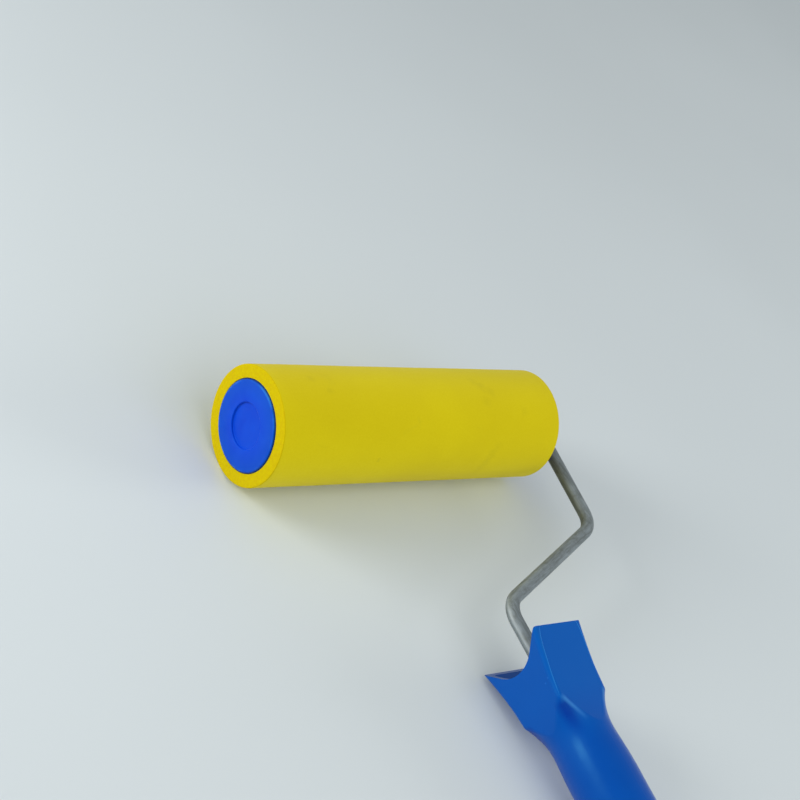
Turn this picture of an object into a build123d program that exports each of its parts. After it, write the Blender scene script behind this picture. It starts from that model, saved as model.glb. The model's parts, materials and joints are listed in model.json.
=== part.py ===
"""Paint roller: a foam-covered roller that spins on a bent wire frame with a moulded handle.

The tool is drawn flat first. The roller axis is X, the handle axis is parallel to Y and the whole
bent wire lies in the plane z = 0, with the origin at the middle of the roller. Then the tool is
tilted a little about X and lifted, so that the underside of the roller and the butt of the handle
rest on the plane z = 0, with the origin under the middle of its box. Lengths are millimetres.
"""

import os
from math import acos, atan2, cos, degrees, hypot, radians, sin, tan

from build123d import *

# Roller: foam on a rigid tube
ROLLER_LENGTH = 160.0
ROLLER_R = 25.4
FOAM_ENDS_X = (-80.3, 80.9)
FOAM_EDGE_R = 0.35
CORE_R = 19.7
CORE_WALL = 2.0

# End caps, pressed into the tube and a little proud of the foam
CAP_FLANGE = 3.0
CAP_PROUD = 0.9
CAP_EDGE_R = 1.3
CAP_SPIGOT_LENGTH = 12.0
CAP_SPIGOT_WALL = 1.8
CAP_DISH_R = 9.7
CAP_DISH_DEPTH = 1.0
CAP_DISH_EDGE_R = 0.45
CAP_WELL_FLOOR = 2.5
CAP_WELL_WALL = 2.0
CAP_WELL_DEPTH = 4.85
RIB_COUNT = 6
RIB_THICKNESS = 1.6
RIB_HEIGHT = 4.0

# Hubs and their bushes
WIRE_R = 3.0
RUNNING_CLEARANCE = 0.06
BUSH_R = 5.2
BUSH_FLANGE_R = 7.0
BUSH_FLANGE = 1.2
HUB_R = 7.6
HUB_LENGTH = 14.0
BEARING_FACE_X = -61.0
BEARING_RIM_WALL = 2.0
BEARING_WEB = 2.4
BEARING_HOLE_R = 2.8

# Washers and the push-on clip that keep the roller on the wire
END_PLAY = 0.3
WASHER_R = 6.0
WASHER_THICKNESS = 1.0
WASHER_CLEARANCE = 0.15
CLIP_R = 6.5
CLIP_THICKNESS = 0.6
CLIP_RIM_WALL = 0.7
CLIP_RIM_HEIGHT = 1.6
CLIP_SLOT_COUNT = 6
CLIP_SLOT_WIDTH = 0.8
CLIP_SLOT_REACH = 4.9

# Wire frame: corners of its centre line in the plane of the tool
WIRE_CORNERS = ((91.5, 0.0), (87.9, -61.0), (8.9, -96.4))
WIRE_BEND_RADII = (7.0, 13.0, 13.0)
WIRE_TAIL_Y = -192.0
WIRE_PAST_CLIP = 3.4
WIRE_END_CHAMFER = 0.7
EAR_WIDTH = 8.8
EAR_LENGTH = 4.0
EAR_THICKNESS = 3.2
EAR_EDGE_R = 0.8
TAIL_EAR_WIDTH = 7.6
TAIL_EAR_YS = (-172.0, -182.0)

# Handle: a rectangular flared mouth that turns into a round grip
HANDLE_X = WIRE_CORNERS[-1][0]
RIM_Y = -117.7
MOUTH_HALF_WIDTH = 14.1
MOUTH_PROFILE = ((-117.7, 18.4), (-131.0, 15.0), (-146.0, 12.75), (-162.0, 14.2))
MOUTH_WALL = 2.3
MOUTH_FLOOR_Y = -147.0
MOUTH_CORNER_R = 1.9
SHOULDER_EDGE_R = 2.7
NOTCH_DEPTH = 10.4
NOTCH_ARC_R = 15.6
NOTCH_FLANK_DEG = 41.0
SHOULDER_PROFILE = ((-144.0, 20.4), (-150.0, 16.2), (-156.0, 14.1), (-161.0, 13.5))
GRIP_PROFILE = (
    (-168.0, 13.75), (-180.0, 14.1), (-192.0, 13.9), (-215.0, 14.3), (-240.0, 14.0), (-250.0, 14.2),
)
BUTT_Y = -258.0
BUTT_R = 14.6
BUTT_EDGE_R = 2.6

# Inside of the grip: a pole socket from the butt, and a ribbed tube that grips the wire
SOCKET_R = 11.1
SOCKET_LENGTH = 58.0
SOCKET_CHAMFER = 1.0
POCKET_R = 10.3
POCKET_TOP_Y = -151.5
WIRE_TUBE_R = 6.2
TUBE_ABOVE_FLOOR = 11.0
GRIP_RIB_THICKNESS = 2.0

# Lengthwise stations, worked out from the sizes above
HALF_LENGTH = ROLLER_LENGTH / 2
CAP_SEAT_X = HALF_LENGTH - CAP_FLANGE
CAP_FACE_X = HALF_LENGTH + CAP_PROUD
WELL_FLOOR_X = CAP_FACE_X - CAP_WELL_DEPTH
OUTER_WASHER_X = BEARING_FACE_X - BUSH_FLANGE - END_PLAY
CLIP_X = OUTER_WASHER_X - WASHER_THICKNESS
WIRE_TIP_X = CLIP_X - CLIP_THICKNESS - WIRE_PAST_CLIP
INNER_WASHER_X = WELL_FLOOR_X + BUSH_FLANGE + END_PLAY
EAR_X = INNER_WASHER_X + WASHER_THICKNESS
SOCKET_END_Y = BUTT_Y + SOCKET_LENGTH
BIG = 60.0

# Drawing plane of the handle's side view: its x is the tool's Y and its y is the tool's Z
HANDLE_SIDE = Plane((HANDLE_X, 0, 0), x_dir=(0, 1, 0), z_dir=(1, 0, 0))


def disc(radius, start, end):
    """A solid cylinder about the roller axis, from x = start to x = end."""
    low, high = min(start, end), max(start, end)
    return Plane((low, 0, 0), x_dir=(0, 1, 0), z_dir=(1, 0, 0)) * extrude(Circle(radius), high - low)


def ring(outer, inner, start, end):
    """A plain tube about the roller axis."""
    return disc(outer, start, end) - disc(inner, start, end)


def handle_disc(radius, start, end):
    """A solid cylinder about the handle axis, from y = start to y = end."""
    low, high = min(start, end), max(start, end)
    base = Plane((HANDLE_X, low, 0), x_dir=(1, 0, 0), z_dir=(0, 1, 0))
    return base * extrude(Circle(radius), high - low)


def around_roller(shape, count, offset=0.0):
    """Copies of a shape, evenly spaced about the roller axis."""
    return [Rot(X=offset + turn * 360.0 / count) * shape for turn in range(count)]


def circles_at_x(shape, x):
    """The edges of a shape that lie in the plane at x."""
    return shape.edges().filter_by_position(Axis.X, x - 0.001, x + 0.001)


def foam_sleeve():
    """Closed-cell foam tube with softly broken outer edges."""
    outer = disc(ROLLER_R, *FOAM_ENDS_X)
    outer = fillet(outer.edges().filter_by(GeomType.CIRCLE), FOAM_EDGE_R)
    return outer - disc(CORE_R, *FOAM_ENDS_X)


def core_tube():
    """Rigid tube that carries the foam, held between the flanges of the end caps."""
    return ring(CORE_R, CORE_R - CORE_WALL, -CAP_SEAT_X, CAP_SEAT_X)


def cap_ribs(inner_r, x_low, x_high):
    """Radial stiffening ribs between a cap's centre and its spigot."""
    outer_r = CORE_R - CORE_WALL - CAP_SPIGOT_WALL / 2
    rib = Pos((x_low + x_high) / 2, (inner_r + outer_r) / 2, 0) * Box(
        x_high - x_low, outer_r - inner_r, RIB_THICKNESS
    )
    return around_roller(rib, RIB_COUNT, offset=15.0)


def cap_shell(side):
    """Flange and spigot common to both end caps; side is -1 for the outer end, +1 for the wire."""
    flange = disc(CORE_R, side * CAP_SEAT_X, side * CAP_FACE_X)
    flange = fillet(circles_at_x(flange, side * CAP_FACE_X), CAP_EDGE_R)
    spigot_r = CORE_R - CORE_WALL
    spigot = ring(
        spigot_r, spigot_r - CAP_SPIGOT_WALL, side * (CAP_SEAT_X - CAP_SPIGOT_LENGTH), side * CAP_SEAT_X
    )
    return flange + spigot


def outer_end_cap():
    """Closed cap with a shallow round dish in its face."""
    cap = cap_shell(-1)
    dish_x = -CAP_FACE_X + CAP_DISH_DEPTH
    cap -= disc(CAP_DISH_R, -CAP_FACE_X, dish_x)
    dish_mouth = circles_at_x(cap, -CAP_FACE_X).sort_by(Edge.length)[0]
    cap = fillet([dish_mouth, *circles_at_x(cap, dish_x)], CAP_DISH_EDGE_R)
    for rib in cap_ribs(0.0, -CAP_SEAT_X, -CAP_SEAT_X + RIB_HEIGHT):
        cap += rib
    return cap


def inner_end_cap():
    """Cap on the wire side, with a well for the stop ears and a hub for its bush."""
    hub_end = WELL_FLOOR_X - HUB_LENGTH
    cap = cap_shell(1)
    cap += disc(CAP_DISH_R + CAP_WELL_WALL, WELL_FLOOR_X - CAP_WELL_FLOOR, CAP_SEAT_X)
    cap += disc(HUB_R, hub_end, WELL_FLOOR_X)
    for rib in cap_ribs(HUB_R - 1.0, CAP_SEAT_X - RIB_HEIGHT, CAP_SEAT_X):
        cap += rib
    cap -= disc(CAP_DISH_R, WELL_FLOOR_X, CAP_FACE_X)
    cap = fillet(circles_at_x(cap, CAP_FACE_X).sort_by(Edge.length)[0], CAP_DISH_EDGE_R)
    return cap - disc(BUSH_R, hub_end, WELL_FLOOR_X)


def outer_bearing():
    """Pierced bearing disc pressed inside the tube, behind the closed cap."""
    rim_r = CORE_R - CORE_WALL
    far_x = BEARING_FACE_X + HUB_LENGTH
    web_low = BEARING_FACE_X + (HUB_LENGTH - BEARING_WEB) / 2
    web_high = web_low + BEARING_WEB
    bearing = ring(rim_r, rim_r - BEARING_RIM_WALL, BEARING_FACE_X, far_x)
    bearing += disc(HUB_R, BEARING_FACE_X, far_x)
    bearing += disc(rim_r - BEARING_RIM_WALL / 2, web_low, web_high)
    hole_at = (HUB_R + rim_r - BEARING_RIM_WALL) / 2
    hole = Pos(0, hole_at, 0) * disc(BEARING_HOLE_R, web_low, web_high)
    for pierced in around_roller(hole, RIB_COUNT):
        bearing -= pierced
    return bearing - disc(BUSH_R, BEARING_FACE_X, far_x)


def bush(face_x, side):
    """Flanged plain bush; the flange stands on face_x, on the side given."""
    sleeve_end = face_x - side * HUB_LENGTH
    flange_end = face_x + side * BUSH_FLANGE
    body = disc(BUSH_R, sleeve_end, face_x) + disc(BUSH_FLANGE_R, face_x, flange_end)
    return body - disc(WIRE_R + RUNNING_CLEARANCE, sleeve_end, flange_end)


def thrust_washer(start):
    """Flat steel washer on the wire."""
    return ring(WASHER_R, WIRE_R + WASHER_CLEARANCE, start, start + WASHER_THICKNESS)


def retaining_clip():
    """Push-on clip: a slotted disc whose teeth bite the wire, with a turned-up rim."""
    clip = ring(CLIP_R, WIRE_R, CLIP_X - CLIP_THICKNESS, CLIP_X)
    clip += ring(CLIP_R, CLIP_R - CLIP_RIM_WALL, CLIP_X - CLIP_RIM_HEIGHT, CLIP_X)
    slot = Pos(CLIP_X, CLIP_SLOT_REACH / 2, 0) * Box(2 * CLIP_THICKNESS, CLIP_SLOT_REACH, CLIP_SLOT_WIDTH)
    for cut in around_roller(slot, CLIP_SLOT_COUNT):
        clip -= cut
    return clip


def ear(centre, length_along_x, length_along_y):
    """Flattened wings squeezed out of the wire, as a rounded block across it."""
    block = Box(length_along_x, length_along_y, EAR_THICKNESS)
    return Pos(*centre) * fillet(block.edges(), EAR_EDGE_R)


def wire_frame():
    """Round wire, bent three times, with stop ears by the roller and grip ears in the handle."""
    corners = [(WIRE_TIP_X, 0), *WIRE_CORNERS, (HANDLE_X, WIRE_TAIL_Y)]
    path = FilletPolyline(*corners, radius=list(WIRE_BEND_RADII))
    section = Plane((WIRE_TIP_X, 0, 0), x_dir=(0, 1, 0), z_dir=(1, 0, 0)) * Circle(WIRE_R)
    wire = sweep(section, path=path)
    tip = circles_at_x(wire, WIRE_TIP_X)
    tail = wire.edges().filter_by_position(Axis.Y, WIRE_TAIL_Y - 0.001, WIRE_TAIL_Y + 0.001)
    wire = chamfer(tip + tail, WIRE_END_CHAMFER)
    wire += ear((EAR_X + EAR_LENGTH / 2, 0, 0), EAR_LENGTH, EAR_WIDTH)
    for y in TAIL_EAR_YS:
        wire += ear((HANDLE_X, y, 0), TAIL_EAR_WIDTH, EAR_LENGTH)
    return wire


def side_view(face, half_width):
    """A face drawn in (y, z), extruded evenly to both sides of the handle's middle."""
    return Pos(-half_width, 0, 0) * (HANDLE_SIDE * extrude(face, 2 * half_width))


def mouth_block(inset, y_bottom):
    """Flared block from the rim to y_bottom, inset from the outside by a wall's thickness."""
    curve = Spline(*[(y, half - inset) for y, half in MOUTH_PROFILE])
    rim, end = curve @ 0, curve @ 1
    half_face = make_face(curve + Polyline(end, (end.X, 0), (rim.X, 0), rim))
    block = side_view(half_face + mirror(half_face, about=Plane.XZ), MOUTH_HALF_WIDTH - inset)
    length = RIM_Y - y_bottom
    block &= Pos(HANDLE_X, y_bottom + length / 2, 0) * Box(BIG, length, BIG)
    lengthwise = [edge for edge in block.edges() if abs((edge @ 1).Y - (edge @ 0).Y) > length / 2]
    return fillet(lengthwise, MOUTH_CORNER_R)


def notch():
    """Round-bottomed scallop through both sides of the mouth."""
    slope = radians(NOTCH_FLANK_DEG)
    bottom_y = RIM_Y - NOTCH_DEPTH
    tangent_z = NOTCH_ARC_R * sin(slope)
    tangent_y = bottom_y + NOTCH_ARC_R * (1 - cos(slope))
    top_y = RIM_Y + NOTCH_DEPTH
    top_z = tangent_z + (top_y - tangent_y) / tan(slope)
    low, high = (tangent_y, -tangent_z), (tangent_y, tangent_z)
    outline = ThreePointArc(low, (bottom_y, 0), high) + Polyline(high, (top_y, top_z), (top_y, -top_z), low)
    return side_view(make_face(outline), BIG)


def turned_outside():
    """Revolved outside of the handle, from a wide shoulder through the neck to the rounded butt."""
    shoulder = Spline(*SHOULDER_PROFILE, *GRIP_PROFILE, (BUTT_Y + BUTT_EDGE_R, BUTT_R))
    start, end = shoulder @ 0, shoulder @ 1
    edge = CenterArc((end.X, end.Y - BUTT_EDGE_R), BUTT_EDGE_R, 90, 90)
    outline = shoulder + edge + Polyline(edge @ 1, (BUTT_Y, 0), (start.X, 0), start)
    turned = HANDLE_SIDE * make_face(outline)
    return revolve(turned, Axis((HANDLE_X, 0, 0), (0, 1, 0)))


def is_shoulder_edge(edge):
    """True for the curved edges where the flat faces of the mouth run out on the turned neck."""
    middle = edge @ 0.5
    return SHOULDER_PROFILE[-1][0] + 0.5 < middle.Y < SHOULDER_PROFILE[0][0] - 2.5 and edge.length > 5


def handle():
    """Hollow handle: flared mouth, round grip, ribbed wire tube and open pole socket."""
    neck_y = SHOULDER_PROFILE[-1][0]
    outside = turned_outside()
    upper = mouth_block(0.0, neck_y) & outside + handle_disc(BIG, SHOULDER_PROFILE[0][0], RIM_Y)
    upper = fillet(upper.edges().filter_by(is_shoulder_edge), SHOULDER_EDGE_R)
    body = upper + (outside - handle_disc(BIG, neck_y, RIM_Y))
    body -= mouth_block(MOUTH_WALL, MOUTH_FLOOR_Y)
    body -= notch()
    body -= handle_disc(SOCKET_R, BUTT_Y, SOCKET_END_Y)
    body -= handle_disc(POCKET_R, SOCKET_END_Y, POCKET_TOP_Y)
    tube = handle_disc(WIRE_TUBE_R, SOCKET_END_Y, MOUTH_FLOOR_Y + TUBE_ABOVE_FLOOR)
    rib_length = POCKET_TOP_Y - SOCKET_END_Y
    middle = Pos(HANDLE_X, SOCKET_END_Y + rib_length / 2, 0)
    tube += middle * Box(2 * POCKET_R + 1, rib_length, GRIP_RIB_THICKNESS)
    tube += middle * Box(GRIP_RIB_THICKNESS, rib_length, 2 * POCKET_R + 1)
    body += tube
    body -= handle_disc(WIRE_R, WIRE_TAIL_Y, RIM_Y)
    butt_edges = body.edges().filter_by_position(Axis.Y, BUTT_Y - 0.001, BUTT_Y + 0.001)
    return chamfer(butt_edges.sort_by(Edge.length)[0], SOCKET_CHAMFER)


def resting_tilt():
    """Tilt about X, in degrees, that lays the roller and the rounded edge of the butt on one plane."""
    edge_y, edge_r = BUTT_Y + BUTT_EDGE_R, BUTT_R - BUTT_EDGE_R
    drop = ROLLER_R - BUTT_EDGE_R
    return degrees(atan2(-edge_y, edge_r) - acos(drop / hypot(edge_y, edge_r)))


def resting_place(wire):
    """Transform from the flat drawing to the resting tool, origin under the middle of its box."""
    tilt = radians(resting_tilt())
    low_x, high_x = -CAP_FACE_X, wire.bounding_box().max.X
    edge_y, edge_r = BUTT_Y + BUTT_EDGE_R, BUTT_R - BUTT_EDGE_R
    low_y = edge_y * cos(tilt) - edge_r * sin(tilt) - BUTT_EDGE_R
    return Pos(-(low_x + high_x) / 2, -(low_y + ROLLER_R) / 2, ROLLER_R) * Rot(X=resting_tilt())


def main():
    """Write one STEP file for each piece."""
    wire = wire_frame()
    pieces = {
        "foam_sleeve": foam_sleeve(),
        "core_tube": core_tube(),
        "outer_end_cap": outer_end_cap(),
        "outer_bearing": outer_bearing(),
        "outer_bush": bush(BEARING_FACE_X, -1),
        "inner_end_cap": inner_end_cap(),
        "inner_bush": bush(WELL_FLOOR_X, 1),
        "outer_thrust_washer": thrust_washer(CLIP_X),
        "inner_thrust_washer": thrust_washer(INNER_WASHER_X),
        "retaining_clip": retaining_clip(),
        "wire_frame": wire,
        "handle": handle(),
    }
    place = resting_place(wire)
    os.makedirs("parts", exist_ok=True)
    for name, piece in pieces.items():
        export_step(place * piece, f"parts/{name}.step")


if __name__ == "__main__":
    main()
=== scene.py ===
"""Looks of the paint roller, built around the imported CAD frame.

Units are metres, except in the tables below that say millimetres.
"""

import json
import math

import bmesh
import bpy
import numpy
from mathutils import Matrix, Vector, noise
from mathutils.bvhtree import BVHTree


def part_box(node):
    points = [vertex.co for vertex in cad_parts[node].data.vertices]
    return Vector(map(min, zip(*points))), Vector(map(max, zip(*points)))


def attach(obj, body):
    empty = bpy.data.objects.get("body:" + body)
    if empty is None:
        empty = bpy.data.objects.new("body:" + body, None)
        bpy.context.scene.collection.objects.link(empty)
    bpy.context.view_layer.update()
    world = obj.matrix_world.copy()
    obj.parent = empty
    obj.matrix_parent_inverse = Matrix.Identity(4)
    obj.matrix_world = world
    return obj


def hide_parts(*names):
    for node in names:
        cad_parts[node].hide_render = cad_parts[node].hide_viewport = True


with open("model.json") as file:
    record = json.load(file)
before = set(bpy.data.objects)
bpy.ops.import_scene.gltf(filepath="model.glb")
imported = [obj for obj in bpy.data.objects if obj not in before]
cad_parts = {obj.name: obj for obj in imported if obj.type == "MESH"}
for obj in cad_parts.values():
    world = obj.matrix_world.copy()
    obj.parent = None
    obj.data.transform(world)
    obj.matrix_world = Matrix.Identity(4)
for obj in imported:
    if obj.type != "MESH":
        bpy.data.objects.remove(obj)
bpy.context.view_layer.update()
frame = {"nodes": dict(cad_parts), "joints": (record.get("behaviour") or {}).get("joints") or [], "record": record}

MM = 0.001
ACROSS = Vector((1, 0, 0))
UP = Vector((0, 0, 1))

# Places and sizes read from the frame
AXLE = Vector(frame["joints"][0]["pos_m"])
FOAM_LOW, FOAM_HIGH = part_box("foam_sleeve")
FOAM_R = (FOAM_HIGH.z - FOAM_LOW.z) / 2
CAP_LOW, CAP_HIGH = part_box("outer_end_cap")
CORE_R = (CAP_HIGH.z - CAP_LOW.z) / 2
SOCKET = frame["record"]["mounts"][0]
HANDLE_AXIS = -Vector(SOCKET["axis"]).normalized()
HANDLE_UP = ACROSS.cross(HANDLE_AXIS)
RIM_FROM_SOCKET = 111.3 * MM
RIM_CENTRE = Vector(SOCKET["pos_m"]) + HANDLE_AXIS * RIM_FROM_SOCKET

# Camera, with its angles in degrees and its lens and sensor in millimetres
CAMERA_TARGET = Vector((0.0062, 0.1311, 0.0254))
CAMERA_AZIMUTH = -53.38
CAMERA_ELEVATION = 33.26
CAMERA_ROLL = 36.72
CAMERA_DISTANCE = 0.6957
CAMERA_LENS = 69.22
SENSOR_WIDTH = 36.0

# Studio
FLOOR_SIZE = 6.0
SURROUND_COLOUR = (0.90, 0.95, 0.97, 1.0)
SURROUND_STRENGTH = 0.46

# Foam sleeve: its edge, its mesh, and how far the outside departs from a true cylinder
FOAM_EDGE = 0.35 * MM
FOAM_TURNS = 320
FOAM_STEPS = 160
EDGE_STEPS = 5
CUT_STEPS = 8
FOAM_SWELL = 0.10 * MM
FOAM_SWELL_SCALE = 40.0
FOAM_GRAIN = 0.03 * MM
FOAM_GRAIN_SCALE = 420.0

# Smudges on the foam: millimetres along the roller from its middle, degrees round it from +Y towards
# +Z, radius in millimetres, and strength
FOAM_SPOTS = (
    (-60, 83, 2.8, 0.13),
    (-53, 98, 2.6, 0.11),
    (-27, 167, 1.4, 0.28),
    (33, 83, 4.0, 0.07),
    (36, 90, 3.6, 0.12),
    (40, 97, 3.6, 0.10),
    (35, 108, 3.6, 0.08),
    (42, 156, 3.6, 0.07),
    (40, 165, 3.6, 0.11),
    (39, 174, 3.6, 0.10),
    (38, 183, 3.6, 0.08),
    (58, 118, 3.2, 0.08),
)
SPOT_RAGGED = 0.9 * MM

# Marks on the end cap, as pairs of distances in from its rim between which each one comes in
CAP_COOLER_RIM = (9.0 * MM, 1.0 * MM)
# Painted highlight on the rounded edge just inside the rim
CAP_HIGHLIGHT_BAND = (1.7 * MM, 1.2 * MM)
# Painted shade in the groove between the cap and the foam
CAP_GROOVE_SHADE = (0.9 * MM, 0.3 * MM)

# Mould seams on the corners of the handle's mouth, in millimetres from the rim and from the side
MOUTH_HALF_WIDTH = 14.1 * MM
SEAM_INSET = ((0.4, 3.1), (4.0, 2.2), (8.0, 1.75), (14.0, 1.55), (20.0, 1.2), (25.0, 0.9), (28.0, 0.75))
SEAM_R = 0.24 * MM
SEAM_PROUD = 0.12 * MM
SEAM_STEPS = 48
SEAM_SIDES = 8

# Share of its full thickness that a seam has at each end, and how fast it thickens from there
SEAM_AT_RIM = (0.5, 12.0)
SEAM_AT_SHOULDER = (0.25, 5.0)

# Gate marks on the side of the mouth, in millimetres: behind the rim, above the middle, and radius
GATE_MARKS = ((21.0, 9.6, 0.5), (19.9, 11.9, 0.45))
GATE_PROUD = 0.12 * MM

# A distance from the handle's middle that lies outside the handle on every side
OUTSIDE_HANDLE = 40 * MM

# Painted sheen and painted shade of the mouth: distances behind the rim where the painted sheen starts
# and is fullest, and the depth below the middle by which the painted shade on the floor inside is full
SHEEN_FROM = 50 * MM
FULL_SHEEN_FROM = 25 * MM
SHADED_BELOW = 4 * MM

# Painted light at each shoulder of the handle: painted shade in the hollow below its corner, and a
# painted highlight along the ridge above it. start and end give the mark's line, as (across, behind the
# rim, up) from the rim's middle. The mark has its full strength up to one distance from the line, has
# faded at another, and is gone by a distance along the line from start.
# Painted shade in the hollow below each shoulder's corner
SHOULDER_PAINTED_SHADE = {
    "start": Vector((12.6, 30.4, 11.0)) * MM,
    "end": Vector((9.8, 38.3, 9.2)) * MM,
    "full_to": 1.0 * MM,
    "faded_to": 4.2 * MM,
    "gone_by": 17 * MM,
    "strength": 1.0,
}
# Painted highlight along the ridge above each shoulder's hollow
SHOULDER_PAINTED_HIGHLIGHT = {
    "start": Vector((12.0, 28.9, 12.6)) * MM,
    "end": Vector((5.5, 39.9, 12.7)) * MM,
    "full_to": 0.1 * MM,
    "faded_to": 1.3 * MM,
    "gone_by": 13 * MM,
    "strength": 0.8,
}

# Distances from start along the line, the same for both marks, where they come in and start to fade
MARK_COMES_IN = (-1.5 * MM, 1 * MM)
MARK_FADES_FROM = 5 * MM

# Cross run of the wire: its slant from X, the stretch of Y that it takes, and half of the overlap in
# which the streaks turn from one stretch's direction to the next
CROSS_RUN_TURN = math.radians(24.1)
CROSS_RUN_MIDDLE_Y = AXLE.y - 78.7 * MM
CROSS_RUN_HALF_Y = 17.7 * MM
CROSS_RUN_OVERLAP = 2 * MM

# Scale of the wire's streaks along it, which makes them about eight times as long as they are wide
STREAK_SCALE_ALONG = 0.12

# Side of the wire that the painted light follows, towards the roller and down, and the stretches of Y,
# from the middle of the cross run, in which the painted shade by the roller and the painted highlight line
# by the handle come in
ROLLER_SIDE = Vector((-0.6, 0.3, -0.74)).normalized()
SHADE_COMES_IN = (-5 * MM, 15 * MM)
HIGHLIGHT_COMES_IN = (-12 * MM, -22 * MM)

# Tints of reflections: those of the blue plastic lean to blue
WHITE = (1.0, 1.0, 1.0, 1.0)
COOL = (0.2, 0.85, 1.0, 1.0)
PALE_YELLOW = (1.0, 0.94, 0.6, 1.0)

# Colours, as display values of red, green and blue from 0 to 255; pairs are the darker and the lighter
FLOOR_WHITES = ((219, 226, 228), (223, 230, 232))
FOAM_YELLOWS = ((221, 201, 4), (226, 207, 4))
FOAM_CELL = (209, 186, 0)
FOAM_SMUDGE = (178, 168, 40)
FOAM_DIRT = (150, 138, 30)
CUT_YELLOWS = ((206, 179, 0), (211, 189, 0))
CUT_PORE = (199, 158, 0)
CAP_BLUES = ((0, 58, 200), (3, 72, 210))
CAP_RIM_BLUE = (0, 74, 184)
# Painted highlight on the cap's rounded edge
CAP_PAINTED_HIGHLIGHT = (44, 120, 216)
# Painted shade in the groove round the cap
CAP_GROOVE_PAINTED_SHADE = (4, 26, 60)
HANDLE_BLUES = ((0, 71, 168), (0, 77, 175))
# Painted sheen on the mouth's level faces
MOUTH_PAINTED_SHEEN = (3, 92, 186)
# Painted shade on the floor inside the mouth
MOUTH_PAINTED_SHADE = (2, 62, 150)
# Painted shade in the hollow at each shoulder
CREASE_PAINTED_SHADE = (0, 50, 156)
# Painted highlight along the ridge at each shoulder
RIDGE_PAINTED_HIGHLIGHT = (64, 132, 208)
# Lighter blue of the seams: flash colour, with a painted highlight in it
SEAM_BLUES_AND_HIGHLIGHT = ((34, 116, 202), (44, 128, 210))
GATE_BLUES = ((10, 90, 184), (14, 98, 194))
CORE_GREYS = ((190, 190, 186), (205, 205, 200))
BUSH_WHITES = ((220, 218, 206), (232, 230, 220))
ZINC_GREYS = ((107, 114, 114), (134, 143, 146))
ZINC_LINE = (152, 162, 166)
ZINC_STAIN = (88, 92, 86)
# Painted shade and painted yellow reflection on the wire's side towards the roller
WIRE_PAINTED_SHADE = (66, 66, 40)
# Painted highlight line on the wire by the handle
WIRE_PAINTED_HIGHLIGHT = (190, 198, 200)
WASHER_GREYS = ((160, 160, 160), (186, 188, 190))
CLIP_GREYS = ((90, 90, 92), (120, 122, 126))


# ---------------------------------------------------------------- helpers


def linear(colour):
    """Shader colour from display values of 0 to 255."""

    def channel(value):
        value /= 255
        return value / 12.92 if value <= 0.04045 else ((value + 0.055) / 1.055) ** 2.4

    return (*(channel(value) for value in colour), 1.0)


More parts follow.
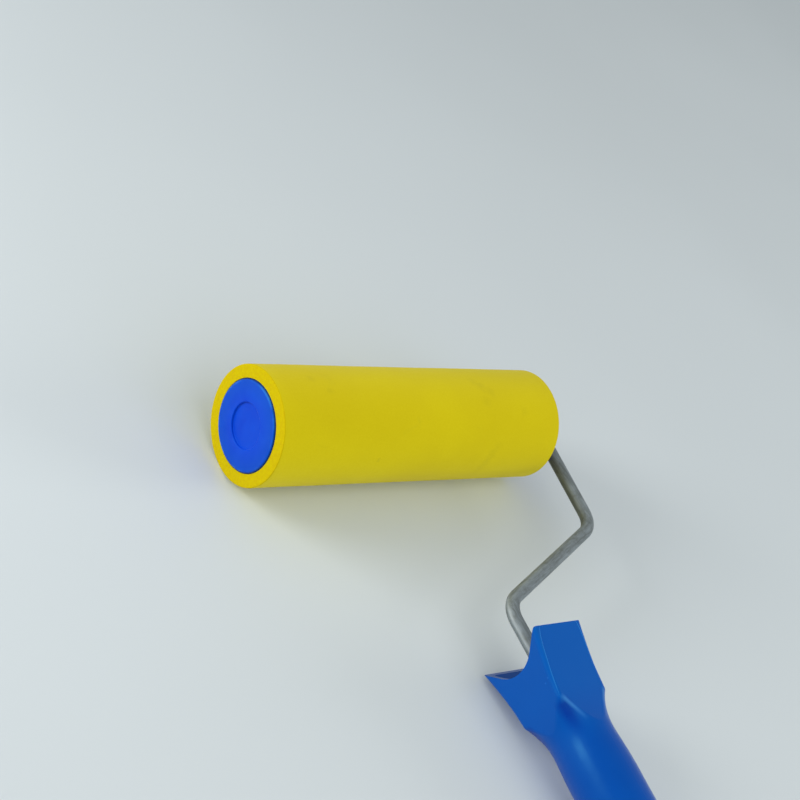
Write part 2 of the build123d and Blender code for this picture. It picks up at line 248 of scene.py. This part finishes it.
class Shader:
    """A material's node tree, with short calls for the nodes that these materials use.

    A place is a vector socket, and a number or share is a value socket. place is the object's own
    coordinates, which at rest are those of the frame.
    """

    def __init__(self, name):
        self.material = bpy.data.materials.new(name)
        self.material.use_nodes = True
        self.nodes = self.material.node_tree.nodes
        self.links = self.material.node_tree.links
        self.surface = self.nodes["Principled BSDF"]
        self.place = self.nodes.new("ShaderNodeTexCoord").outputs["Object"]

    def set(self, **values):
        """Uniform values, set straight on the shader's own sockets."""
        for socket, value in values.items():
            self.surface.inputs[socket.replace("_", " ")].default_value = value

    def noise(self, scale, detail=2.0, roughness=0.5, distortion=0.0, place=None):
        """Smooth noise of about 0 to 1, with scale blotches to the metre."""
        node = self.nodes.new("ShaderNodeTexNoise")
        node.inputs["Scale"].default_value = scale
        node.inputs["Detail"].default_value = detail
        node.inputs["Roughness"].default_value = roughness
        node.inputs["Distortion"].default_value = distortion
        self.links.new(place or self.place, node.inputs["Vector"])
        return node.outputs["Fac"]

    def cells(self, scale):
        """Distance from the nearest of a scatter of points, with scale cells to the metre."""
        node = self.nodes.new("ShaderNodeTexVoronoi")
        node.inputs["Scale"].default_value = scale
        self.links.new(self.place, node.inputs["Vector"])
        return node.outputs["Distance"]

    def scaled(self, scales, turn=0.0):
        """The place turned about Z, then scaled along each axis."""
        turning = self.nodes.new("ShaderNodeMapping")
        turning.inputs["Rotation"].default_value = (0.0, 0.0, turn)
        self.links.new(self.place, turning.inputs["Vector"])
        scaling = self.nodes.new("ShaderNodeMapping")
        scaling.inputs["Scale"].default_value = scales
        self.links.new(turning.outputs["Vector"], scaling.inputs["Vector"])
        return scaling.outputs["Vector"]

    def along(self, axis):
        """Coordinate of the place along X, Y or Z."""
        node = self.nodes.new("ShaderNodeSeparateXYZ")
        self.links.new(self.place, node.inputs["Vector"])
        return node.outputs[axis]

    def joined(self, x, y, z):
        """Place made of three numbers."""
        node = self.nodes.new("ShaderNodeCombineXYZ")
        for socket, value in zip(node.inputs, (x, y, z)):
            self.links.new(value, socket)
        return node.outputs["Vector"]

    def maths(self, operation, first, second=None):
        """Blender's Math node on one or two numbers, each a socket or a float."""
        node = self.nodes.new("ShaderNodeMath")
        node.operation = operation
        for socket, value in zip(node.inputs, (first, second)):
            if isinstance(value, float):
                socket.default_value = value
            elif value is not None:
                self.links.new(value, socket)
        return node.outputs[0]

    def product(self, first, *others):
        """Several numbers multiplied together."""
        for other in others:
            first = self.maths("MULTIPLY", first, other)
        return first

    def vector(self, operation, first, second=None, output="Vector"):
        """Blender's Vector Math node on one or two vectors, each a socket or a Vector."""
        node = self.nodes.new("ShaderNodeVectorMath")
        node.operation = operation
        for socket, value in zip(node.inputs, (first, second)):
            if isinstance(value, Vector):
                socket.default_value = value
            elif value is not None:
                self.links.new(value, socket)
        return node.outputs[output]

    def dot(self, first, second):
        """Dot product of two vectors."""
        return self.vector("DOT_PRODUCT", first, second, "Value")

    def facing(self, direction, normal="Normal"):
        """How far the surface faces a unit direction: 1 straight along it, -1 the other way."""
        geometry = self.nodes.new("ShaderNodeNewGeometry")
        return self.dot(geometry.outputs[normal], direction)

    def from_axle(self):
        """Distance of the place from the roller's axle."""
        aside = self.maths("SUBTRACT", self.along("Y"), AXLE.y)
        above = self.maths("SUBTRACT", self.along("Z"), AXLE.z)
        squares = self.maths("ADD", self.product(aside, aside), self.product(above, above))
        return self.maths("SQRT", squares)

    def from_line(self, place, start, end):
        """Distance of a place from the line through start and end, and how far past start it lies."""
        offset = self.vector("SUBTRACT", place, start)
        ahead = self.dot(offset, (end - start).normalized())
        reach = self.vector("LENGTH", offset, output="Value")
        squares = self.maths("SUBTRACT", self.product(reach, reach), self.product(ahead, ahead))
        return self.maths("SQRT", self.maths("MAXIMUM", squares, 0.0)), ahead

    def ramp(self, value, low, high, start=0.0, end=1.0):
        """Number that goes evenly from start, where value is low, to end, where it is high."""
        node = self.nodes.new("ShaderNodeMapRange")
        node.inputs["From Min"].default_value = low
        node.inputs["From Max"].default_value = high
        node.inputs["To Min"].default_value = start
        node.inputs["To Max"].default_value = end
        self.links.new(value, node.inputs["Value"])
        return node.outputs["Result"]

    def mix(self, share, first, second):
        """Colour that goes from first to second as share goes from 0 to 1."""
        node = self.nodes.new("ShaderNodeMix")
        node.data_type = "RGBA"
        self.links.new(share, node.inputs["Factor"])
        colour_inputs = [socket for socket in node.inputs if socket.type == "RGBA"]
        for socket, colour in zip(colour_inputs, (first, second)):
            if isinstance(colour, tuple):
                socket.default_value = linear(colour)
            else:
                self.links.new(colour, socket)
        return next(socket for socket in node.outputs if socket.type == "RGBA")

    def blend(self, share, first, second):
        """Number that goes from first to second as share goes from 0 to 1."""
        node = self.nodes.new("ShaderNodeMix")
        for socket, value in (("Factor", share), ("A", first), ("B", second)):
            self.links.new(value, node.inputs[socket])
        return node.outputs["Result"]

    def bump(self, height, distance, strength, under=None):
        """Relief of a height of 0 to 1, on top of the relief under it."""
        node = self.nodes.new("ShaderNodeBump")
        node.inputs["Distance"].default_value = distance
        node.inputs["Strength"].default_value = strength
        self.links.new(height, node.inputs["Height"])
        if under is not None:
            self.links.new(under, node.inputs["Normal"])
        return node.outputs["Normal"]

    def finish(self, base, rough, relief=None):
        """The material, with its colour, roughness and relief linked to the shader."""
        self.links.new(base, self.surface.inputs["Base Color"])
        self.links.new(rough, self.surface.inputs["Roughness"])
        if relief is not None:
            self.links.new(relief, self.surface.inputs["Normal"])
        return self.material


def out_towards(azimuth, elevation):
    """Unit direction at an azimuth, from -Y towards +X, and an elevation, both in degrees."""
    a = math.radians(azimuth)
    e = math.radians(elevation)
    return Vector((math.sin(a) * math.cos(e), -math.cos(a) * math.cos(e), math.sin(e)))


def link(thing):
    """Puts an object in the scene."""
    bpy.context.scene.collection.objects.link(thing)
    return thing


def mesh_object(name, bm, materials, sharp_angle=35.0):
    """A smooth-shaded mesh object from a bmesh, creased where faces meet at more than sharp_angle."""
    mesh = bpy.data.meshes.new(name)
    bm.normal_update()
    bm.to_mesh(mesh)
    bm.free()
    for material in materials:
        mesh.materials.append(material)
    mesh.shade_smooth()
    mesh.set_sharp_from_angle(angle=math.radians(sharp_angle))
    return link(bpy.data.objects.new(name, mesh))


def around(count):
    """Cosine and sine of count angles, evenly spaced round a circle."""
    for turn in range(count):
        angle = 2 * math.pi * turn / count
        yield math.cos(angle), math.sin(angle)


def bridge(bm, ring, following):
    """Faces between two closed rings with the same number of points."""
    faces = []
    for turn in range(len(ring)):
        after = (turn + 1) % len(ring)
        faces.append(bm.faces.new((ring[turn], following[turn], following[after], ring[after])))
    return faces


def handle_point(across, behind_rim, up):
    """Place on or near the handle: across it, behind its rim and up from its middle."""
    return RIM_CENTRE + ACROSS * across - HANDLE_AXIS * behind_rim + HANDLE_UP * up


# ---------------------------------------------------------------- materials


def foam_spots(s, base):
    """A few faint smudges at fixed places on the foam."""
    ragged = s.ramp(s.noise(500.0, detail=3.0), 0.3, 0.7, -SPOT_RAGGED, SPOT_RAGGED)
    for along, round_from_y, radius, strength in FOAM_SPOTS:
        angle = math.radians(round_from_y)
        middle = AXLE + Vector((along * MM, FOAM_R * math.cos(angle), FOAM_R * math.sin(angle)))
        reach = s.maths("ADD", s.vector("DISTANCE", s.place, middle, "Value"), ragged)
        base = s.mix(s.ramp(reach, 0.0, radius * MM, strength, 0.0), base, FOAM_DIRT)
    return base


def foam_skin():
    """Outside of the sleeve: fine closed cells, dull, with faint smudges and a few dark specks."""
    s = Shader("foam_skin")
    s.set(Specular_IOR_Level=0.12, Sheen_Weight=0.1, Sheen_Roughness=0.5, Sheen_Tint=PALE_YELLOW)
    broad = s.noise(30.0)
    fine = s.noise(1300.0, detail=3.0, roughness=0.65)
    base = s.mix(s.ramp(broad, 0.3, 0.7), *FOAM_YELLOWS)
    base = s.mix(s.ramp(fine, 0.35, 0.7, end=0.2), base, FOAM_CELL)
    smudges = s.noise(75.0, detail=5.0, roughness=0.7, distortion=0.7)
    base = s.mix(s.ramp(smudges, 0.63, 0.78, end=0.14), base, FOAM_SMUDGE)
    specks = s.ramp(s.cells(95.0), 0.0, 0.06, start=0.5, end=0.0)
    here_and_there = s.ramp(s.noise(24.0), 0.56, 0.62)
    base = s.mix(s.product(specks, here_and_there), base, FOAM_DIRT)
    base = foam_spots(s, base)
    relief = s.bump(fine, distance=0.10 * MM, strength=0.5)
    relief = s.bump(s.cells(2600.0), distance=0.06 * MM, strength=0.4, under=relief)
    return s.finish(base, s.ramp(fine, 0.3, 0.7, 0.74, 0.9), relief)


def foam_cut():
    """Sawn end of the sleeve: open cells and a warmer colour."""
    s = Shader("foam_cut")
    s.set(Specular_IOR_Level=0.08)
    grain = s.noise(700.0, detail=4.0, roughness=0.7)
    pores = s.cells(1500.0)
    base = s.mix(s.ramp(grain, 0.38, 0.62), *CUT_YELLOWS)
    base = s.mix(s.ramp(pores, 0.0, 0.3, start=0.35, end=0.0), base, CUT_PORE)
    relief = s.bump(grain, distance=0.2 * MM, strength=0.5)
    relief = s.bump(pores, distance=0.12 * MM, strength=0.5, under=relief)
    return s.finish(base, s.ramp(grain, 0.3, 0.7, 0.8, 0.95), relief)


def moulded_plastic(name, dark, light, rough, flow, gloss=0.5, tint=WHITE, overlay=None):
    """Injection-moulded plastic with a faint grain, slow flow marks and a few dull rubs.

    rough is the lowest and the highest roughness, and flow the scale of the flow marks. overlay takes
    the shader and the colour so far, and returns the colour with the piece's own marks.
    """
    s = Shader(name)
    s.set(IOR=1.5, Specular_IOR_Level=gloss, Specular_Tint=tint)
    cloud = s.noise(flow, detail=3.0, distortion=0.4)
    grain = s.noise(2400.0)
    sink = s.noise(60.0, detail=1.0)
    rub = s.noise(160.0, detail=6.0, roughness=0.72)
    base = s.mix(s.ramp(cloud, 0.3, 0.7), dark, light)
    if overlay is not None:
        base = overlay(s, base)
    roughness = s.maths("ADD", s.ramp(rub, 0.4, 0.7, *rough), s.ramp(grain, 0.3, 0.7, end=0.05))
    relief = s.bump(sink, distance=0.35 * MM, strength=0.5)
    relief = s.bump(grain, distance=0.03 * MM, strength=0.5, under=relief)
    return s.finish(base, roughness, relief)


def cap_rim_marks(s, base):
    """Painted shade in the groove round the end cap, a painted highlight on the rounded edge inside it, and cooler
    blue by the rim.
    """
    from_rim = s.maths("SUBTRACT", CORE_R, s.from_axle())
    base = s.mix(s.ramp(from_rim, *CAP_COOLER_RIM, end=0.6), base, CAP_RIM_BLUE)
    patchy = s.ramp(s.noise(90.0, detail=3.0), 0.45, 0.6, end=0.6)
    # Painted highlight, in patches, on the rounded edge inside the rim
    base = s.mix(s.product(patchy, s.ramp(from_rim, *CAP_HIGHLIGHT_BAND)), base, CAP_PAINTED_HIGHLIGHT)
    # Painted shade in the groove between the cap and the foam
    return s.mix(s.ramp(from_rim, *CAP_GROOVE_SHADE, end=0.85), base, CAP_GROOVE_PAINTED_SHADE)


def mouth_painted_light(s, base):
    """Painted sheen lightens the handle towards its mouth, most of all on its level faces.

    Inside the mouth, painted shade darkens the floor.
    """
    upward = s.facing(UP, "True Normal")
    level = s.ramp(s.maths("ABSOLUTE", upward), 0.2, 0.8, start=0.3, end=0.8)
    at_mouth = s.ramp(s.along("Y"), handle_point(0, SHEEN_FROM, 0).y, handle_point(0, FULL_SHEEN_FROM, 0).y)
    # Painted sheen on the level faces towards the mouth
    base = s.mix(s.product(at_mouth, level), base, MOUTH_PAINTED_SHEEN)
    faces_up = s.ramp(upward, 0.1, 0.35)
    lies_low = s.ramp(s.along("Z"), RIM_CENTRE.z, RIM_CENTRE.z - SHADED_BELOW)
    # Painted shade on the floor inside the mouth
    return s.mix(s.product(faces_up, lies_low, at_mouth), base, MOUTH_PAINTED_SHADE)


def shoulder_mark(s, place, start, end, full_to, faded_to, gone_by, strength):
    """Share of a soft mark at each place; the values are explained at SHOULDER_PAINTED_SHADE."""
    aside, ahead = s.from_line(place, start, end)
    width = s.ramp(aside, full_to, faded_to, start=strength, end=0.0)
    length = s.product(
        s.ramp(ahead, *MARK_COMES_IN),
        s.ramp(ahead, MARK_FADES_FROM, gone_by, start=1.0, end=0.0),
    )
    return s.product(width, length)


def handle_painted_light(s, base):
    """Painted light on the handle: painted sheen and shade at its mouth, painted shade in the hollow at each
    shoulder and a painted highlight along the ridge above it.
    """
    base = mouth_painted_light(s, base)
    offset = s.vector("SUBTRACT", s.place, RIM_CENTRE)
    across = s.maths("ABSOLUTE", s.dot(offset, ACROSS))
    up = s.maths("ABSOLUTE", s.dot(offset, HANDLE_UP))
    corner = s.joined(across, s.dot(offset, -HANDLE_AXIS), up)
    # Painted shade in the hollow at each shoulder
    base = s.mix(shoulder_mark(s, corner, **SHOULDER_PAINTED_SHADE), base, CREASE_PAINTED_SHADE)
    # Painted highlight along the ridge at each shoulder
    return s.mix(shoulder_mark(s, corner, **SHOULDER_PAINTED_HIGHLIGHT), base, RIDGE_PAINTED_HIGHLIGHT)


def wire_streaks(s, scale, detail):
    """Noise drawn out along each stretch of the wire."""
    on_legs = s.noise(scale, detail, roughness=0.6, place=s.scaled((1.0, STREAK_SCALE_ALONG, 1.0)))
    crossing_place = s.scaled((STREAK_SCALE_ALONG, 1.0, 1.0), turn=-CROSS_RUN_TURN)
    crossing = s.noise(scale, detail, roughness=0.6, place=crossing_place)
    from_middle = s.maths("ABSOLUTE", s.maths("SUBTRACT", s.along("Y"), CROSS_RUN_MIDDLE_Y))
    on_cross_run = s.ramp(
        from_middle, CROSS_RUN_HALF_Y + CROSS_RUN_OVERLAP, CROSS_RUN_HALF_Y - CROSS_RUN_OVERLAP
    )
    return s.blend(on_cross_run, on_legs, crossing)


def wire_painted_light(s, base):
    """Painted olive shade, with the roller's yellow painted in as a reflection, on the side of the wire that faces
    the roller and down, and a painted highlight line by the handle.
    """
    turned_in = s.facing(ROLLER_SIDE)
    past_middle = s.maths("SUBTRACT", s.along("Y"), CROSS_RUN_MIDDLE_Y)
    # Painted shade and painted reflection of the yellow roller, on the side towards the roller and down
    painted_shade_share = s.product(s.ramp(past_middle, *SHADE_COMES_IN), s.ramp(turned_in, -0.2, 0.6, end=0.65))
    base = s.mix(painted_shade_share, base, WIRE_PAINTED_SHADE)
    # Painted highlight line along the wire by the handle
    line = s.product(s.ramp(turned_in, 0.1, 0.42), s.ramp(turned_in, 0.45, 0.72, start=0.62, end=0.0))
    return s.mix(s.product(s.ramp(past_middle, *HIGHLIGHT_COMES_IN), line), base, WIRE_PAINTED_HIGHLIGHT)


def zinc_wire():
    """Galvanised drawn wire: dull grey, with drawing lines and stains that run along each stretch."""
    s = Shader("zinc_wire")
    s.set(Metallic=0.2, Specular_IOR_Level=0.4)
    broad = wire_streaks(s, 420.0, detail=4.0)
    lines = wire_streaks(s, 1500.0, detail=2.0)
    stains = s.noise(260.0, detail=4.0, roughness=0.65)
    base = s.mix(s.ramp(broad, 0.35, 0.65), *ZINC_GREYS)
    base = s.mix(s.ramp(lines, 0.48, 0.64, end=0.45), base, ZINC_LINE)
    base = s.mix(s.ramp(stains, 0.52, 0.72, end=0.5), base, ZINC_STAIN)
    # Painted shade towards the roller and a painted highlight line by the handle
    base = wire_painted_light(s, base)
    relief = s.bump(lines, distance=0.05 * MM, strength=0.6)
    return s.finish(base, s.ramp(broad, 0.35, 0.65, 0.58, 0.48), relief)


def plain_steel(name, dark, light):
    """Stamped steel with fine rolled grain and slight tarnish."""
    s = Shader(name)
    s.set(Metallic=0.9)
    tarnish = s.noise(300.0, detail=4.0)
    grain = s.noise(1500.0, place=s.scaled((1.0, 8.0, 1.0)))
    base = s.mix(s.ramp(tarnish, 0.4, 0.7), light, dark)
    relief = s.bump(grain, distance=0.02 * MM, strength=0.4)
    return s.finish(base, s.ramp(grain, 0.3, 0.7, 0.3, 0.45), relief)


# ---------------------------------------------------------------- pieces


def sleeve_outline():
    """Closed outline of the foam's wall as (x, radius), from one end's bore to the other's."""
    low, high = FOAM_LOW.x, FOAM_HIGH.x
    face_height = FOAM_R - FOAM_EDGE - CORE_R
    outline = [(low, CORE_R + face_height * step / CUT_STEPS) for step in range(CUT_STEPS)]
    for step in range(EDGE_STEPS, -1, -1):
        angle = math.pi / 2 * step / EDGE_STEPS
        x = low + FOAM_EDGE * (1 - math.sin(angle))
        outline.append((x, FOAM_R - FOAM_EDGE * (1 - math.cos(angle))))
    far_end = [(low + high - x, r) for x, r in reversed(outline)]
    stride = (high - low - 2 * FOAM_EDGE) / FOAM_STEPS
    side = [(low + FOAM_EDGE + stride * step, FOAM_R) for step in range(1, FOAM_STEPS)]
    return outline + side + far_end


def foam_point(x, r, direction):
    """Point of the foam, with the outside of the wall slightly uneven and the bore true."""
    point = Vector((x, AXLE.y, AXLE.z)) + direction * r
    if r > (CORE_R + FOAM_R) / 2:
        swell = noise.noise(point * FOAM_SWELL_SCALE) * FOAM_SWELL
        grain = noise.noise(point * FOAM_GRAIN_SCALE) * FOAM_GRAIN
        point += direction * (swell + grain)
    return point


def foam_sleeve(skin, cut):
    """The foam tube: a slightly uneven cylinder with softly broken edges and sawn ends."""
    outline = sleeve_outline()
    bm = bmesh.new()
    rings = []
    for x, r in outline:
        points = [foam_point(x, r, Vector((0, aside, above))) for aside, above in around(FOAM_TURNS)]
        rings.append([bm.verts.new(point) for point in points])
    rings.append(rings[0])
    last_cut = CUT_STEPS + EDGE_STEPS
    for number, (ring, following) in enumerate(zip(rings, rings[1:])):
        is_cut = number < last_cut or number >= len(outline) - 1 - last_cut
        for face in bridge(bm, ring, following):
            face.material_index = 1 if is_cut else 0
    bmesh.ops.recalc_face_normals(bm, faces=bm.faces)
    sleeve = mesh_object("foam_sleeve_foam", bm, [skin, cut])
    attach(sleeve, "roller")
    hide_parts("foam_sleeve")


def handle_surface():
    """The handle's CAD mesh as a tree that rays can be cast on."""
    handle = frame["nodes"]["handle"]
    return BVHTree.FromPolygons(
        [handle.matrix_world @ vertex.co for vertex in handle.data.vertices],
        [tuple(polygon.vertices) for polygon in handle.data.polygons],
    )


def seam_ring(surface, side, face, share):
    """Points round a mould seam at a share of its length, on one corner of the mouth.

    side is -1 or 1 across the handle, and face is -1 for its underside or 1 for its top.
    """
    distances, insets = zip(*SEAM_INSET)
    behind = distances[0] + (distances[-1] - distances[0]) * share
    across = MOUTH_HALF_WIDTH - numpy.interp(behind, distances, insets) * MM
    start = handle_point(side * across, behind * MM, face * OUTSIDE_HANDLE)
    hit, normal, _, _ = surface.ray_cast(start, HANDLE_UP * -face)
    at_rim, rim_growth = SEAM_AT_RIM
    at_shoulder, shoulder_growth = SEAM_AT_SHOULDER
    taper = min(1.0, at_rim + rim_growth * share, at_shoulder + shoulder_growth * (1 - share))
    radius = SEAM_R * taper
    centre = hit - normal * (radius - SEAM_PROUD * taper)
    forward = (HANDLE_AXIS - normal * HANDLE_AXIS.dot(normal)).normalized()
    aside = forward.cross(normal)
    return [centre + (aside * cosine + normal * sine) * radius for cosine, sine in around(SEAM_SIDES)]


def mould_seams(surface, material):
    """Thin raised lines of flash where the mould's sides met, one along each corner of the mouth. Their lighter
    blue is partly the flash's own colour and partly a painted highlight.
    """
    bm = bmesh.new()
    for side in (-1, 1):
        for face in (-1, 1):
            rings = []
            for step in range(SEAM_STEPS + 1):
                points = seam_ring(surface, side, face, step / SEAM_STEPS)
                rings.append([bm.verts.new(point) for point in points])
            for ring, following in zip(rings, rings[1:]):
                bridge(bm, ring, following)
            bm.faces.new(rings[0])
            bm.faces.new(list(reversed(rings[-1])))
    bmesh.ops.recalc_face_normals(bm, faces=bm.faces)
    seams = mesh_object("mould_seams", bm, [material], sharp_angle=80.0)
    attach(seams, "frame")


def gate_marks(surface, material):
    """Low round pips where the plastic entered the mould, on one side of the mouth."""
    bm = bmesh.new()
    for behind, up, radius in GATE_MARKS:
        start = handle_point(-OUTSIDE_HANDLE, behind * MM, up * MM)
        hit, normal, _, _ = surface.ray_cast(start, ACROSS)
        flatten = Matrix.Diagonal((radius * MM, radius * MM, 2 * GATE_PROUD, 1.0))
        lay = normal.to_track_quat("Z", "Y").to_matrix().to_4x4()
        place = Matrix.Translation(hit - normal * GATE_PROUD) @ lay @ flatten
        bmesh.ops.create_uvsphere(bm, u_segments=20, v_segments=12, radius=1.0, matrix=place)
    marks = mesh_object("gate_marks", bm, [material])
    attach(marks, "frame")


def dress(node, material):
    """Gives a CAD node its finished material."""
    mesh = frame["nodes"][node].data
    mesh.materials.clear()
    mesh.materials.append(material)
    for polygon in mesh.polygons:
        polygon.material_index = 0


# ---------------------------------------------------------------- studio


def make_camera():
    """Camera at the viewing angle of the picture, turned about its line of sight by the roll."""
    back = out_towards(CAMERA_AZIMUTH, CAMERA_ELEVATION)
    level_right = UP.cross(back).normalized()
    level_up = back.cross(level_right)
    roll = math.radians(CAMERA_ROLL)
    right = level_right * math.cos(roll) + level_up * math.sin(roll)
    rotation = Matrix((right, back.cross(right), back)).transposed()
    data = bpy.data.cameras.new("camera")
    data.lens = CAMERA_LENS
    data.sensor_width = SENSOR_WIDTH
    data.clip_start = 0.01
    data.clip_end = 20.0
    camera = link(bpy.data.objects.new("camera", data))
    camera.matrix_world = Matrix.Translation(CAMERA_TARGET + back * CAMERA_DISTANCE) @ rotation.to_4x4()
    bpy.context.scene.camera = camera


def make_floor():
    """Plain pale floor at the level on which the tool rests."""
    s = Shader("floor_paint")
    s.set(Specular_IOR_Level=0.3)
    soft = s.noise(3.0)
    base = s.mix(s.ramp(soft, 0.3, 0.7), *FLOOR_WHITES)
    material = s.finish(base, s.ramp(soft, 0.3, 0.7, 0.55, 0.6))
    bm = bmesh.new()
    bmesh.ops.create_grid(bm, x_segments=8, y_segments=8, size=FLOOR_SIZE / 2)
    mesh_object("floor", bm, [material])


def area_light(name, azimuth, elevation, distance, size, power, mirrored=True):
    """Soft square light that faces the camera's target; mirrored lets glossy surfaces reflect it."""
    out = out_towards(azimuth, elevation)
    data = bpy.data.lights.new(name, "AREA")
    data.size = size
    data.energy = power
    lamp = link(bpy.data.objects.new(name, data))
    lamp.visible_glossy = mirrored
    lamp.location = CAMERA_TARGET + out * distance
    lamp.rotation_mode = "QUATERNION"
    lamp.rotation_quaternion = out.to_track_quat("Z", "Y")


def make_lights():
    """A low soft light on each side, a higher one in front, and an even pale surround."""
    area_light("light_left", azimuth=-114.0, elevation=18.0, distance=0.9, size=0.42, power=4.6)
    area_light(
        "light_right", azimuth=66.0, elevation=16.0, distance=1.6, size=0.7, power=6.9, mirrored=False
    )
    area_light("front", azimuth=-4.0, elevation=46.0, distance=1.2, size=1.2, power=4.6)
    world = bpy.data.worlds.new("surround")
    world.use_nodes = True
    background = world.node_tree.nodes["Background"]
    background.inputs["Color"].default_value = SURROUND_COLOUR
    background.inputs["Strength"].default_value = SURROUND_STRENGTH
    bpy.context.scene.world = world
    bpy.context.scene.view_settings.view_transform = "Standard"


make_camera()
make_floor()
make_lights()

cap_plastic = moulded_plastic(
    "cap_plastic", *CAP_BLUES, rough=(0.36, 0.5), flow=90.0, gloss=0.3, tint=COOL, overlay=cap_rim_marks
)
handle_plastic = moulded_plastic(
    "handle_plastic",
    *HANDLE_BLUES,
    rough=(0.27, 0.35),
    flow=30.0,
    gloss=0.42,
    tint=COOL,
    overlay=handle_painted_light,
)
# Seam colour: the flash's own lighter blue, partly a painted highlight
seam_flash_and_highlight = moulded_plastic("seam_flash_and_highlight", *SEAM_BLUES_AND_HIGHLIGHT, (0.3, 0.4), flow=30.0, gloss=0.4, tint=COOL)
gate_plastic = moulded_plastic("gate_plastic", *GATE_BLUES, (0.3, 0.4), flow=30.0, gloss=0.4, tint=COOL)
core_plastic = moulded_plastic("core_plastic", *CORE_GREYS, rough=(0.5, 0.6), flow=40.0)
bush_plastic = moulded_plastic("bush_plastic", *BUSH_WHITES, rough=(0.3, 0.42), flow=90.0)
washer_steel = plain_steel("washer_steel", *WASHER_GREYS)

foam_sleeve(foam_skin(), foam_cut())
plastic_surface = handle_surface()
mould_seams(plastic_surface, seam_flash_and_highlight)
gate_marks(plastic_surface, gate_plastic)
for cad_node, finish in (
    ("outer_end_cap", cap_plastic),
    ("inner_end_cap", cap_plastic),
    ("handle", handle_plastic),
    ("core_tube", core_plastic),
    ("outer_bearing", core_plastic),
    ("outer_bush", bush_plastic),
    ("inner_bush", bush_plastic),
    ("wire_frame", zinc_wire()),
    ("outer_thrust_washer", washer_steel),
    ("inner_thrust_washer", washer_steel),
    ("retaining_clip", plain_steel("clip_steel", *CLIP_GREYS)),
):
    dress(cad_node, finish)
